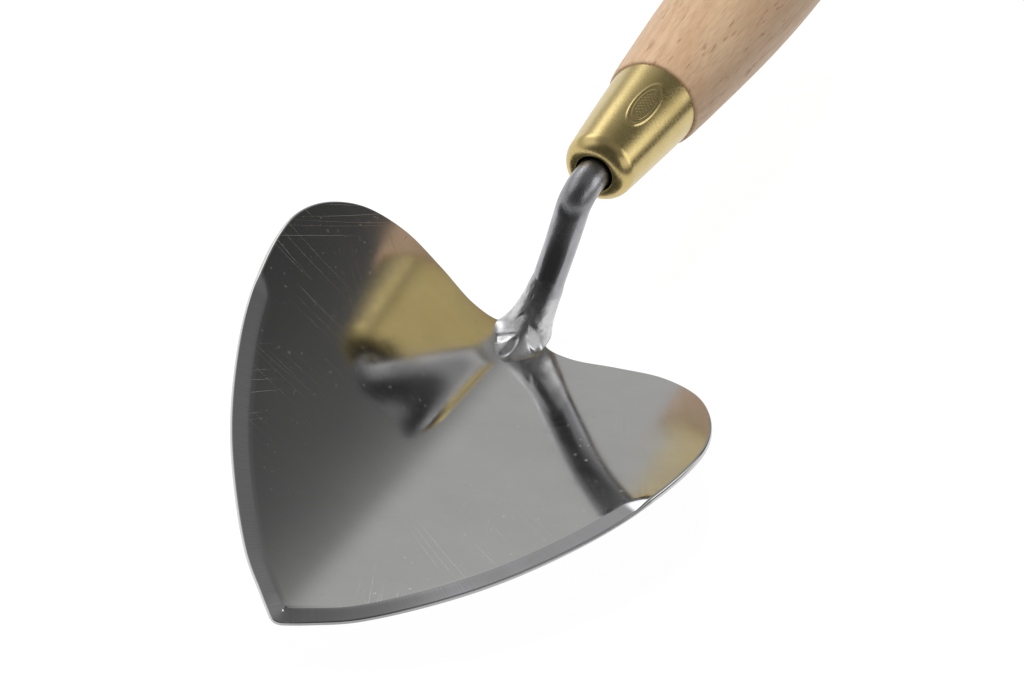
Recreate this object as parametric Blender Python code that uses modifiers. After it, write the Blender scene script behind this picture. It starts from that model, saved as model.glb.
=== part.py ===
"""Hand trowel with a dished heart-shaped blade, a cranked neck, a ferrule and a turned handle.

Metres, +Z up. The handle's axis runs along X with the blade's tip towards +X, and XZ is the
plane of symmetry. The origin is under the middle of the tool, level with the blade's keel.
"""
import math

import bmesh
import bpy
from mathutils import Vector

# ---- driving dimensions -------------------------------------------------------------------
ROD_RADIUS = 0.0040          # bar that the neck and its tang are bent from
MATING_GAP = 0.0003          # clearance between pieces that touch

FERRULE_LENGTH = 0.0325
FERRULE_WALL = 0.0009
LIP_WALL = 0.00125           # thickness round the mouth
LIP_LAND = 0.00035           # the hole's edge, behind the front of the lip
MOUTH_RADIUS = 0.0046        # hole in the ferrule's nose
NOSE_RADIUS = 0.00825        # the cone carried forward to the mouth
LIP_INNER_RADIUS = 0.00475   # the nose rounds over from here...
LIP_LENGTH = 0.0042          # ...to the cone's side, this far behind the mouth
RIM_RADIUS = 0.0112          # ferrule at the wood
FERRULE_BULGE = 0.0001       # how far the cone's side swells past a straight line

HANDLE_LENGTH = 0.1120       # wood behind the ferrule
SHOULDER_RADIUS = 0.0115     # wood where it meets the ferrule
WAIST_RADIUS = 0.01195       # wood just behind its eased shoulder
GRIP_RADIUS = 0.0166         # the handle at its fullest
FULLEST_SHARE = 0.71         # how far back the handle is fullest, as a share of its length
BUTT_RADIUS = 0.0070         # small flat left in the middle of the butt
TENON_LENGTH = 0.0240        # wood inside the ferrule
TANG_LENGTH = 0.0900         # bar inside the ferrule and the handle
BORE_SPARE = 0.0020          # bore beyond the end of the tang
EASE_PROPORTION = 2.5        # the shoulder's easing is this much longer than it is deep
BUTT_FULLNESS = 0.8          # under 1, the butt is fuller than an ellipse

NECK_START = 0.0028          # straight bar in front of the ferrule's mouth
BEND_RADIUS = 0.0050         # tight bend below the ferrule, on the bar's centre line
EASE_RADIUS = 0.0800         # slight bend half way down the neck
UPPER_LEAN = math.radians(8.3)   # the neck leans back towards the handle...
LOWER_LEAN = math.radians(3)     # ...and less so below the slight bend
UPPER_RUN = 0.0073           # straight bar between the two bends
FOOT_CLEARANCE = 0.0102      # end of the bar above the blade's reference plane

WELD_TOE = 0.0075            # front of the weld on the blade, from the reference point
WELD_HEEL = -0.0118
WELD_HALF_WIDTH = 0.0056
TOE_TAPER = 0.35             # share of the width lost towards the toe
WELD_FLARE = 2.2             # how late the weld spreads out...
WELD_DROP = 1.4              # ...and how early it comes down

BLADE_THICKNESS = 0.0016
EDGE_FRACTION = 0.62         # thickness left at the ground edge
BEVEL_WIDTH = 0.0034         # width of the ground bevel
BEVEL_START = 0.0470         # the edge is ground from here forwards
BLADE_ORIGIN_X = 0.01465     # blade's reference point, from the ferrule's mouth
BLADE_DROP = 0.0468          # dished face under the handle's axis, at the reference point
BLADE_PITCH = math.radians(5.8)
KEEL_RADIUS = 1.90           # very gentle lengthwise hollow
KEEL_LOW_POINT = 0.034
FLANK_SLOPE = 0.434          # the flanks rise like a V...
KEEL_ROUNDING = 0.0050       # ...rounded at the keel
LOBE_LIFT = 0.0023           # extra upturn at the reference half width
LOBE_HALF_WIDTH = 0.0514

# Half of the blade's outline, tip to tongue, as distance forward and half width.
BLADE_OUTLINE = (
    (0.1121, 0.0000), (0.1118, 0.0011), (0.1106, 0.0028), (0.1078, 0.0066), (0.1022, 0.0143),
    (0.0847, 0.0305), (0.0682, 0.0412), (0.0515, 0.0491), (0.0330, 0.0543), (0.0226, 0.0549),
    (0.0124, 0.0521), (0.0037, 0.0460), (-0.0014, 0.0364), (-0.0021, 0.0253),
    (-0.0014, 0.0142), (-0.0032, 0.0070), (-0.0076, 0.0044), (-0.0112, 0.0038),
    (-0.0124, 0.0022), (-0.0127, 0.0000),
)

# ---- resolution ---------------------------------------------------------------------------
TURN_STEPS = 40
OUTLINE_STEPS = 34
COLUMNS = 9
BEND_STEPS = 8
WELD_SIDES = 24
WELD_LAYERS = 6
CURVE_SUBSTEPS = 12
LIP_STEPS = 6
SIDE_STEPS = 6
TENON_STEPS = 3
SHOULDER_STEPS = 3
GRIP_STEPS = 10
BUTT_STEPS = 9
LEAST_INNER_SHARE = 0.35     # keeps the bevel's inner line off the keel near the tip
MERGE_DISTANCE = 0.00001
SHARP_ANGLE = math.radians(40)


# ---- the blade's form ---------------------------------------------------------------------
def dish_height(forward, half_width):
    """Height of the blade's face above its own flat plane."""
    flank = math.hypot(FLANK_SLOPE * half_width, KEEL_ROUNDING) - KEEL_ROUNDING
    lobe = LOBE_LIFT * (half_width / LOBE_HALF_WIDTH) ** 4
    hollow = (forward - KEEL_LOW_POINT) ** 2 / (2 * KEEL_RADIUS)
    return flank + lobe + hollow


def blade_point(forward, half_width, above=0.0):
    """A point on the blade's lower face, or above it, measured from the ferrule's mouth."""
    height = dish_height(forward, half_width) + above
    along = forward * math.cos(BLADE_PITCH) - height * math.sin(BLADE_PITCH)
    up = forward * math.sin(BLADE_PITCH) + height * math.cos(BLADE_PITCH)
    base = -BLADE_DROP - BLADE_THICKNESS
    return Vector((BLADE_ORIGIN_X + along, half_width, base + up))


def smooth_curve(points, steps):
    """Evenly spaced points along a centripetal Catmull-Rom curve through the given ones."""
    knots = [Vector(point) for point in points]
    knots = [2 * knots[0] - knots[1]] + knots + [2 * knots[-1] - knots[-2]]
    dense = []
    for before, start, end, after in zip(knots, knots[1:], knots[2:], knots[3:]):
        t0 = 0.0
        t1 = t0 + math.sqrt((start - before).length)
        t2 = t1 + math.sqrt((end - start).length)
        t3 = t2 + math.sqrt((after - end).length)
        for step in range(CURVE_SUBSTEPS):
            t = t1 + (t2 - t1) * step / CURVE_SUBSTEPS
            a1 = before.lerp(start, (t - t0) / (t1 - t0))
            a2 = start.lerp(end, (t - t1) / (t2 - t1))
            a3 = end.lerp(after, (t - t2) / (t3 - t2))
            b1 = a1.lerp(a2, (t - t0) / (t2 - t0))
            b2 = a2.lerp(a3, (t - t1) / (t3 - t1))
            dense.append(b1.lerp(b2, (t - t1) / (t2 - t1)))
    dense.append(knots[-2])
    lengths = [0.0]
    for start, end in zip(dense, dense[1:]):
        lengths.append(lengths[-1] + (end - start).length)
    even = []
    index = 0
    for step in range(steps + 1):
        target = lengths[-1] * step / steps
        while index < len(dense) - 2 and lengths[index + 1] < target:
            index += 1
        share = (target - lengths[index]) / (lengths[index + 1] - lengths[index])
        even.append(dense[index].lerp(dense[index + 1], min(share, 1.0)))
    return even


TIP_X = blade_point(*BLADE_OUTLINE[0]).x
BUTT_X = -(FERRULE_LENGTH + HANDLE_LENGTH)
MOUTH_X = -(TIP_X + BUTT_X) / 2      # puts the origin midway between tip and butt
TONGUE_BOTTOM = blade_point(*BLADE_OUTLINE[-1]).z
AXIS_HEIGHT = -TONGUE_BOTTOM         # puts the origin level with the blade's lowest point


# ---- scene helpers ------------------------------------------------------------------------
def clear_scene():
    for old in list(bpy.data.objects):
        bpy.data.objects.remove(old, do_unlink=True)


def make_material(name, colour, roughness, metallic):
    material = bpy.data.materials.new(name)
    material.use_nodes = True
    shader = material.node_tree.nodes["Principled BSDF"]
    shader.inputs["Base Color"].default_value = (*colour, 1.0)
    shader.inputs["Roughness"].default_value = roughness
    shader.inputs["Metallic"].default_value = metallic
    material.diffuse_color = (*colour, 1.0)
    return material


def add_object(name, data, collection, parent, material):
    obj = bpy.data.objects.new(name, data)
    collection.objects.link(obj)
    obj.parent = parent
    data.materials.append(material)
    return obj


def turn(obj, profile):
    """Revolve a profile of (radius, distance along the axis) about the handle's axis."""
    mesh = obj.data
    edges = [(index, index + 1) for index in range(len(profile) - 1)]
    if (profile[0][0], profile[-1][0]) != (0.0, 0.0):
        edges.append((len(profile) - 1, 0))
    mesh.from_pydata([(radius, 0.0, along) for radius, along in profile], edges, [])
    screw = obj.modifiers.new("turned", "SCREW")
    screw.axis = "Z"
    screw.steps = TURN_STEPS
    screw.render_steps = TURN_STEPS
    screw.use_merge_vertices = True
    screw.merge_threshold = MERGE_DISTANCE
    screw.use_smooth_shade = True
    obj.rotation_euler = (0.0, math.pi / 2, 0.0)


# ---- profiles -----------------------------------------------------------------------------
def ferrule_radius(behind):
    """Outer radius of the ferrule's side, a distance behind its mouth."""
    share = behind / FERRULE_LENGTH
    swell = 4 * FERRULE_BULGE * share * (1 - share)
    return NOSE_RADIUS + (RIM_RADIUS - NOSE_RADIUS) * share + swell


def ferrule_profile():
    """Closed outline of the ferrule's wall: round the lip, back along the cone, and inside again."""
    points = [(MOUTH_RADIUS, -LIP_WALL), (MOUTH_RADIUS, -LIP_LAND)]
    side_reach = ferrule_radius(LIP_LENGTH) - LIP_INNER_RADIUS
    for step in range(LIP_STEPS + 1):
        angle = math.pi / 2 * step / LIP_STEPS
        radius = LIP_INNER_RADIUS + side_reach * math.sin(angle)
        points.append((radius, -LIP_LENGTH * (1 - math.cos(angle))))
    stations = [LIP_LENGTH + (FERRULE_LENGTH - LIP_LENGTH) * step / SIDE_STEPS
                for step in range(SIDE_STEPS + 1)]
    for behind in stations[1:]:
        points.append((ferrule_radius(behind), -behind))
    for behind in reversed(stations):
        points.append((ferrule_radius(behind) - FERRULE_WALL, -behind))
    points.append((LIP_INNER_RADIUS + side_reach / 2, -LIP_WALL * 1.5))
    return points


def handle_radius(behind):
    """Radius of the grip, a distance behind the ferrule, up to its fullest part."""
    full = HANDLE_LENGTH * FULLEST_SHARE
    share = min(behind / full, 1.0)
    return WAIST_RADIUS + (GRIP_RADIUS - WAIST_RADIUS) * math.sin(math.pi / 2 * share)


def handle_profile():
    """Outline from the bottom of the tang's bore, over the tenon and the grip, to the butt."""
    bore = ROD_RADIUS + MATING_GAP
    bore_end = -(TANG_LENGTH + BORE_SPARE)
    tenon_front = FERRULE_LENGTH - TENON_LENGTH
    start = FERRULE_LENGTH + MATING_GAP
    points = [(0.0, bore_end), (bore, bore_end), (bore, -tenon_front)]
    for step in range(TENON_STEPS + 1):
        behind = tenon_front + (start - tenon_front) * step / TENON_STEPS
        reach = min(behind, FERRULE_LENGTH)
        points.append((ferrule_radius(reach) - FERRULE_WALL - MATING_GAP, -behind))
    ease = WAIST_RADIUS - SHOULDER_RADIUS
    ease_length = EASE_PROPORTION * ease
    for step in range(SHOULDER_STEPS + 1):
        angle = math.pi / 2 * step / SHOULDER_STEPS
        radius = SHOULDER_RADIUS + ease * math.sin(angle)
        points.append((radius, -start - ease_length * (1 - math.cos(angle))))
    fullest = HANDLE_LENGTH * FULLEST_SHARE
    for step in range(1, GRIP_STEPS + 1):
        behind = ease_length + (fullest - ease_length) * step / GRIP_STEPS
        points.append((handle_radius(behind), -start - behind))
    butt_length = -BUTT_X - start - fullest
    for step in range(1, BUTT_STEPS + 1):
        angle = math.pi / 2 * step / BUTT_STEPS
        fall = math.cos(angle) ** BUTT_FULLNESS
        radius = BUTT_RADIUS + (GRIP_RADIUS - BUTT_RADIUS) * fall
        points.append((radius, -start - fullest - butt_length * math.sin(angle)))
    points.append((0.0, BUTT_X))
    return points


# ---- parts --------------------------------------------------------------------------------
def build_blade(collection, parent, material):
    """Dished sheet with a tongue at the back and a bevel ground on the upper face of its edge."""
    outline = smooth_curve([(*point, 0.0) for point in BLADE_OUTLINE], OUTLINE_STEPS)
    keel_tip = BLADE_OUTLINE[0][0]
    keel_end = BLADE_OUTLINE[-1][0]
    mesh = bpy.data.meshes.new("blade")
    form = bmesh.new()
    full_thickness = []
    rows = []
    for index, edge in enumerate(outline[1:-1], start=1):
        keel = Vector((keel_tip + (keel_end - keel_tip) * index / OUTLINE_STEPS, 0.0, 0.0))
        reach = (edge - keel).length
        ground = edge.x > BEVEL_START
        bevel_share = max(1 - BEVEL_WIDTH / reach, LEAST_INNER_SHARE)
        row = []
        for column in range(COLUMNS + 1):
            share = column / (COLUMNS - 1) * bevel_share if column < COLUMNS else 1.0
            spot = keel.lerp(edge, share)
            vertex = form.verts.new(blade_point(spot.x, spot.y))
            row.append(vertex)
            full_thickness.append(not (ground and column == COLUMNS))
        rows.append(row)
    tip = form.verts.new(blade_point(*BLADE_OUTLINE[0]))
    tail = form.verts.new(blade_point(*BLADE_OUTLINE[-1]))
    full_thickness.extend((False, True))
    for front, back in zip(rows, rows[1:]):
        for column in range(COLUMNS):
            corners = (front[column], front[column + 1], back[column + 1], back[column])
            form.faces.new(corners)
    for column in range(COLUMNS):
        form.faces.new((tip, rows[0][column + 1], rows[0][column]))
        form.faces.new((tail, rows[-1][column], rows[-1][column + 1]))
    form.to_mesh(mesh)
    form.free()
    blade = add_object("blade", mesh, collection, parent, material)
    weights = blade.vertex_groups.new(name="full_thickness")
    weights.add([i for i, full in enumerate(full_thickness) if full], 1.0, "REPLACE")
    mirror = blade.modifiers.new("both_halves", "MIRROR")
    mirror.use_axis = (False, True, False)
    mirror.use_clip = True
    mirror.merge_threshold = 2 * MERGE_DISTANCE
    sheet = blade.modifiers.new("sheet", "SOLIDIFY")
    sheet.thickness = BLADE_THICKNESS
    sheet.offset = 1.0
    sheet.vertex_group = weights.name
    sheet.thickness_vertex_group = EDGE_FRACTION
    mesh.shade_smooth()
    mesh.set_sharp_from_angle(angle=SHARP_ANGLE)
    return blade


def neck_path():
    """Centre line of the bar: along the handle's axis, down in two bends, to its foot."""
    place = Vector((NECK_START, 0.0, 0.0))
    path = [Vector((-TANG_LENGTH, 0.0, 0.0)), Vector((-TANG_LENGTH / 2, 0.0, 0.0)), place]
    heading = 0.0
    bends = ((math.pi / 2 + UPPER_LEAN, BEND_RADIUS), (math.pi / 2 + LOWER_LEAN, EASE_RADIUS))
    for target, radius in bends:
        change = (target - heading) / BEND_STEPS
        chord = 2 * radius * math.sin(abs(change) / 2)
        for _ in range(BEND_STEPS):
            middle = heading + change / 2
            place = place + chord * Vector((math.cos(middle), 0.0, -math.sin(middle)))
            path.append(place)
            heading += change
        if target == bends[0][0]:
            place = place + UPPER_RUN * Vector((math.cos(heading), 0.0, -math.sin(heading)))
            path.append(place)
    direction = Vector((math.cos(heading), 0.0, -math.sin(heading)))
    run = (place.z + BLADE_DROP - FOOT_CLEARANCE) / -direction.z
    path.append(place + direction * run)
    return path, direction


def build_neck(collection, parent, material):
    """Round bar with its tang."""
    path, _ = neck_path()
    curve = bpy.data.curves.new("neck", "CURVE")
    curve.dimensions = "3D"
    curve.bevel_depth = ROD_RADIUS
    curve.bevel_resolution = 6
    curve.use_fill_caps = True
    spline = curve.splines.new("POLY")
    spline.points.add(len(path) - 1)
    for point, place in zip(spline.points, path):
        point.co = (*place, 1.0)
    spline.use_smooth = True
    return add_object("neck", curve, collection, parent, material)


def weld_ring(share, centre, direction):
    """One layer of the foot, from the bar's round end to the slipper shape on the blade."""
    across = Vector((0.0, 1.0, 0.0))
    front = direction.cross(across)
    middle = (WELD_TOE + WELD_HEEL) / 2
    reach = (WELD_TOE - WELD_HEEL) / 2
    ring = []
    for index in range(WELD_SIDES):
        angle = 2 * math.pi * index / WELD_SIDES
        top = centre + ROD_RADIUS * (math.cos(angle) * front + math.sin(angle) * across)
        half_width = WELD_HALF_WIDTH * (1 - TOE_TAPER * max(0.0, math.cos(angle)))
        foot = blade_point(middle + reach * math.cos(angle), half_width * math.sin(angle),
                           BLADE_THICKNESS + MATING_GAP)
        place = top.lerp(foot, share ** WELD_FLARE)
        place.z = top.z + (foot.z - top.z) * (1 - (1 - share) ** WELD_DROP)
        ring.append(place)
    return ring


def build_weld(collection, parent, material):
    """Ground weld that joins the bar to the blade's tongue, lofted from round to slipper-shaped."""
    path, direction = neck_path()
    centre = path[-1] + direction * MATING_GAP
    mesh = bpy.data.meshes.new("weld")
    form = bmesh.new()
    rings = []
    for layer in range(WELD_LAYERS + 1):
        ring = weld_ring(layer / WELD_LAYERS, centre, direction)
        rings.append([form.verts.new(place) for place in ring])
    for upper, lower in zip(rings, rings[1:]):
        for index in range(WELD_SIDES):
            after = (index + 1) % WELD_SIDES
            form.faces.new((upper[index], lower[index], lower[after], upper[after]))
    form.faces.new(rings[0])
    foot = rings[-1]
    middle = form.verts.new(blade_point((WELD_TOE + WELD_HEEL) / 2, 0.0,
                                        BLADE_THICKNESS + MATING_GAP))
    for index in range(WELD_SIDES):
        form.faces.new((foot[(index + 1) % WELD_SIDES], foot[index], middle))
    bmesh.ops.recalc_face_normals(form, faces=form.faces)
    form.to_mesh(mesh)
    form.free()
    mesh.shade_smooth()
    mesh.set_sharp_from_angle(angle=SHARP_ANGLE)
    return add_object("weld", mesh, collection, parent, material)


def build_turned(name, profile, collection, parent, material):
    obj = add_object(name, bpy.data.meshes.new(name), collection, parent, material)
    turn(obj, profile)
    return obj


def main():
    clear_scene()
    collection = bpy.data.collections.new("hand_trowel")
    bpy.context.scene.collection.children.link(collection)
    mouth = bpy.data.objects.new("ferrule_mouth", None)
    collection.objects.link(mouth)
    mouth.location = (MOUTH_X, 0.0, AXIS_HEIGHT)

    polished = make_material("polished_steel", (0.60, 0.60, 0.59), 0.15, 1.0)
    bar = make_material("bar_steel", (0.42, 0.42, 0.43), 0.28, 1.0)
    ground = make_material("ground_weld", (0.66, 0.66, 0.66), 0.20, 1.0)
    brass = make_material("brass", (0.74, 0.58, 0.26), 0.32, 1.0)
    beech = make_material("beech", (0.68, 0.45, 0.31), 0.55, 0.0)

    build_blade(collection, mouth, polished)
    build_neck(collection, mouth, bar)
    build_weld(collection, mouth, ground)
    build_turned("ferrule", ferrule_profile(), collection, mouth, brass)
    build_turned("handle", handle_profile(), collection, mouth, beech)


main()
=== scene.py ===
"""The hand trowel's looks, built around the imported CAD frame.

Every visible piece is a dense mesh that stands for one CAD node, placed from that frame. Lengths
are in metres, in the frame of the row: the handle's axis along X, the blade's tip towards +X.
"""

import math

import bmesh
import bpy
from mathutils import Matrix, Vector, noise


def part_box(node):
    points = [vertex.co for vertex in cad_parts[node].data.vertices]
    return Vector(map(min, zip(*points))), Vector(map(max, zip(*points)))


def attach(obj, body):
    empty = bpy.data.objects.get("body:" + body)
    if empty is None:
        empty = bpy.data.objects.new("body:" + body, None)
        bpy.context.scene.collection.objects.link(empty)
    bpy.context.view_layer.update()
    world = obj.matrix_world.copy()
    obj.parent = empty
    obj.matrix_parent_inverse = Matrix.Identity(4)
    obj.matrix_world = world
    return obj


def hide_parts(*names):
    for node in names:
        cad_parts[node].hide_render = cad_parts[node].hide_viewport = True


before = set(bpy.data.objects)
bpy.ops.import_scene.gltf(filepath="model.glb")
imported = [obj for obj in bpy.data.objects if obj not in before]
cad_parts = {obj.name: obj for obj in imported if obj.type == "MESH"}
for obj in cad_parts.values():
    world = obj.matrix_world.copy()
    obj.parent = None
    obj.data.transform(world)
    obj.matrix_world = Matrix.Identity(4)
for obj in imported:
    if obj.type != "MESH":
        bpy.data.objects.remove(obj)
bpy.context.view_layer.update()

# ---- where the frame puts things ----------------------------------------------------------
FERRULE_LENGTH = 0.0325
ferrule_low, ferrule_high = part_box("ferrule")
MOUTH = Vector((ferrule_high.x, 0.0, (ferrule_low.z + ferrule_high.z) / 2))
SCALE = (ferrule_high.x - ferrule_low.x) / FERRULE_LENGTH

# ---- sizes, measured from the ferrule's mouth ----------------------------------------------
# The ferrule.
FERRULE_WALL = 0.0009
MOUTH_RADIUS = 0.0046
NOSE_RADIUS = 0.00825
LIP_INNER_RADIUS = 0.00475
LIP_LENGTH = 0.0042
RIM_RADIUS = 0.0112
FERRULE_BULGE = 0.0001
LIP_END_TURN = math.radians(84)    # round the lip, where it meets the cone's slope
HOLE_DEPTH = 0.0030
HOLE_EDGE = 0.00040
REAR_EASE = 0.00022
FERRULE_SIDES = 340
FERRULE_WOBBLE = 0.00003
EMBLEM_BEHIND = 0.0190
EMBLEM_HALF_SIZES = (0.0078, 0.0026)
EMBLEM_FACING = math.radians(8)
EMBLEM_HEIGHT = 0.00016
STIPPLE_PITCH = 5200    # radians per metre

# The handle.
HANDLE_LENGTH = 0.1120
SHOULDER_RADIUS = 0.0115
WAIST_RADIUS = 0.01195
GRIP_RADIUS = 0.0166
FULLEST_SHARE = 0.71
BUTT_RADIUS = 0.0070
TENON_FRONT = 0.0092
TENON_PLACES = (0.0092, 0.016, 0.022, 0.028, 0.0324)
TENON_CLEARANCE = 0.0002
BORE_CLEARANCE = 0.0001
SHOULDER_SHAPE = 2.5    # length of the shoulder's curve, as a multiple of its height
BUTT_POWER = 0.8
BUTT_RINGS = (0.85, 0.6, 0.3)
HANDLE_GAP = 0.0001
HANDLE_SIDES = 128
HANDLE_WOBBLE = 0.00005

# The neck, a round bar.
ROD_RADIUS = 0.0040
TANG_LENGTH = 0.0900
NECK_START = 0.0028
BEND_RADIUS = 0.0050
EASE_RADIUS = 0.0800
UPPER_LEAN = math.radians(8.3)
LOWER_LEAN = math.radians(3)
UPPER_RUN = 0.0073
FOOT_CLEARANCE = 0.0102
BEND_STEPS = 40
ROD_SIDES = 64
ROD_SPACING = 0.0005
ROD_WOBBLES = ((0.00004, 90.0), (0.00001, 300.0))    # height, and how many to the metre
ROD_WORN = 0.00003
SHOWN_FROM = (-0.006, 0.002)    # along the handle's axis, where the bar comes into view
COVERED_DEPTHS = (0.0030, 0.0042)    # below the weld's top, where the bar slims
COVERED_SLIMMING = 0.0014

# The weld, measured from the bar's foot.
WELD_RISE = 0.0080
WELD_TOE = 0.0086
WELD_HEEL = -0.0122
WELD_HALF_WIDTH = 0.0068
WELD_OVERLAP = 0.00014
WELD_PROUD = 0.00030
WELD_KNEE_RISE = 0.0006
WELD_KNEE_SHARE = 0.12
WELD_TOE_TAPER = 0.34
WELD_SIDES = 240
WELD_LAYERS = 110
WELD_SKIRT_LAYERS = 4
WELD_SKIRT_DEPTH = 0.00025
WELD_WOBBLES = ((0.00010, 330.0), (0.00004, 950.0))

# Flats that the wheel left in the weld: degrees round from the toe, share of the way down,
# depth, the half lengths down and around, and the tilt of the face.
WELD_FLATS = (
    (-36, 0.12, 0.00008, 0.0008, 0.0007, (0.05, -0.10, 0.10)),
    (-20, 0.17, 0.00008, 0.0010, 0.0005, (0.10, 0.10, -0.05)),
    (-48, 0.22, 0.00008, 0.0008, 0.0006, (0.00, 0.10, 0.10)),
    (8, 0.36, 0.00016, 0.0032, 0.0009, (0.05, 0.15, 0.15)),
    (-24, 0.48, 0.00010, 0.0022, 0.0010, (0.00, -0.15, 0.10)),
    (-46, 0.86, 0.00024, 0.0026, 0.0016, (0.05, -0.25, 0.20)),
    (-4, 0.80, 0.00020, 0.0034, 0.0014, (0.05, 0.15, 0.20)),
    (46, 0.66, 0.00012, 0.0030, 0.0020, (0.10, 0.10, 0.05)),
    (150, 0.50, 0.00015, 0.0030, 0.0020, (0.00, 0.10, 0.10)),
    (-140, 0.60, 0.00015, 0.0030, 0.0020, (0.00, -0.10, 0.10)),
)
FLAT_EDGE = (0.55, 1.15)    # where a flat fades out, in its half lengths
FLAT_CUT = 0.9

# The blade.
BLADE_THICKNESS = 0.0016
EDGE_FRACTION = 0.62
BEVEL_WIDTH = 0.0034
BEVEL_START = 0.0470
BEVEL_RUN_IN = (-0.0025, 0.0035)    # round the bevel's start, where it comes to full depth
UNGROUND_WIDTH = 0.0010
RIM_CORNER = 0.00042
RIM_CORNER_SHARE = 0.3    # of the edge's thickness, at the most
BEVEL_REACHES = (1.25, 1.18)    # in widths: where the dense rows of the bevel start
KEEL_ENDS = (0.0052, 0.0030)    # in from the outline's two ends
GRINDING_SHOWS = 0.15
SLOPE_STEP = 0.00005
BLADE_ROWS = 240
COLUMNS = (46, 26, 5, 16)    # across: upper face, lower face, each rim corner, bevel
CREASE_ROUNDING = 0.00045
BLADE_ORIGIN_X = 0.01465
BLADE_DROP = 0.0468
BLADE_PITCH = math.radians(5.8)
KEEL_RADIUS = 1.90
KEEL_LOW_POINT = 0.034
FLANK_SLOPE = 0.434
KEEL_ROUNDING = 0.0050
LOBE_LIFT = 0.0023
LOBE_HALF_WIDTH = 0.0514
BLADE_OUTLINE = (
    (0.1121, 0.0000), (0.1118, 0.0011), (0.1106, 0.0028), (0.1078, 0.0066), (0.1022, 0.0143),
    (0.0847, 0.0305), (0.0682, 0.0412), (0.0515, 0.0491), (0.0330, 0.0543), (0.0226, 0.0549),
    (0.0124, 0.0521), (0.0037, 0.0460), (-0.0014, 0.0364), (-0.0021, 0.0253),
    (-0.0014, 0.0142), (-0.0032, 0.0070), (-0.0076, 0.0044), (-0.0112, 0.0038),
    (-0.0124, 0.0022), (-0.0127, 0.0000),
)

# Slight unevenness that the press leaves in the dish, as smooth noise.
PRESS_HEIGHT = 0.00005
PRESS_SCALE = 60.0
PRESS_SEED = 41


JOIN_DISTANCE = 0.000002
CURVE_PIECES = 40

ACROSS = Vector((0.0, 1.0, 0.0))


# ---- small helpers ------------------------------------------------------------------------
def to_frame(place):
    """A point measured from the ferrule's mouth, as a point of the row frame."""
    return MOUTH + SCALE * place


def smoothstep(low, high, value):
    share = min(max((value - low) / (high - low), 0.0), 1.0)
    return share * share * (3 - 2 * share)


def wobble(place, scale, seed):
    """Smooth noise from about -1 to 1, for slight unevenness."""
    return noise.noise(place * scale + Vector((seed * 7.3, seed * 3.1, seed * 5.7)))


def smooth_curve(points, steps):
    """Evenly spaced points along a centripetal Catmull-Rom curve through the given ones."""
    knots = [Vector(point) for point in points]
    knots = [2 * knots[0] - knots[1]] + knots + [2 * knots[-1] - knots[-2]]
    dense = []
    for before, start, end, after in zip(knots, knots[1:], knots[2:], knots[3:]):
        t0 = 0.0
        t1 = t0 + math.sqrt((start - before).length)
        t2 = t1 + math.sqrt((end - start).length)
        t3 = t2 + math.sqrt((after - end).length)
        for step in range(CURVE_PIECES):
            t = t1 + (t2 - t1) * step / CURVE_PIECES
            a1 = before.lerp(start, (t - t0) / (t1 - t0))
            a2 = start.lerp(end, (t - t1) / (t2 - t1))
            a3 = end.lerp(after, (t - t2) / (t3 - t2))
            b1 = a1.lerp(a2, (t - t0) / (t2 - t0))
            b2 = a2.lerp(a3, (t - t1) / (t3 - t1))
            dense.append(b1.lerp(b2, (t - t1) / (t2 - t1)))
    dense.append(knots[-2])
    lengths = [0.0]
    for start, end in zip(dense, dense[1:]):
        lengths.append(lengths[-1] + (end - start).length)
    even = []
    index = 0
    for step in range(steps + 1):
        target = lengths[-1] * step / steps
        while index < len(dense) - 2 and lengths[index + 1] < target:
            index += 1
        share = (target - lengths[index]) / (lengths[index + 1] - lengths[index])
        even.append(dense[index].lerp(dense[index + 1], min(share, 1.0)))
    return even, lengths[-1]


def round_axis(angle):
    """Straight out from the handle's axis, at an angle round it from the top."""
    return Vector((0.0, math.sin(angle), math.cos(angle)))


def make_piece(name, vertices, faces, node, materials, indices=None):
    """A smooth-shaded mesh that rides on the root body and stands for one CAD node."""
    mesh = bpy.data.meshes.new(name)
    mesh.from_pydata([to_frame(place) for place in vertices], [], faces)
    mesh.validate()
    mesh.shade_smooth()
    for material in materials:
        mesh.materials.append(material)
    if indices:
        mesh.polygons.foreach_set("material_index", indices)
    piece = bpy.data.objects.new(name, mesh)
    bpy.context.scene.collection.objects.link(piece)
    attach(piece, "root")
    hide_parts(node)
    return piece


def settle(mesh):
    """Joins the vertices that coincide, and turns every face outwards."""
    work = bmesh.new()
    work.from_mesh(mesh)
    bmesh.ops.remove_doubles(work, verts=work.verts, dist=JOIN_DISTANCE)
    bmesh.ops.recalc_face_normals(work, faces=work.faces)
    work.to_mesh(mesh)
    work.free()


def wobbles(place, layers, first_seed):
    """Slight unevenness in metres, from layers of a height and a scale each."""
    return sum(height * wobble(place, scale, first_seed + index)
               for index, (height, scale) in enumerate(layers))


def ring_faces(rows, columns):
    """Quads of a grid that closes round on itself along its columns."""
    faces = []
    for row in range(rows - 1):
        for column in range(columns):
            after = (column + 1) % columns
            here, there = row * columns, (row + 1) * columns
            faces.append((here + column, here + after, there + after, there + column))
    return faces


def closed_faces(rows, columns):
    """The quads of a grid of rings, with a face over each end."""
    last = (rows - 1) * columns
    ends = [tuple(range(columns)), tuple(last + index for index in reversed(range(columns)))]
    return ring_faces(rows, columns) + ends


# ---- materials ----------------------------------------------------------------------------
def grey(level, blue):
    """A grey with a touch more or less blue."""
    return (level, level, level + blue, 1.0)


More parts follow.
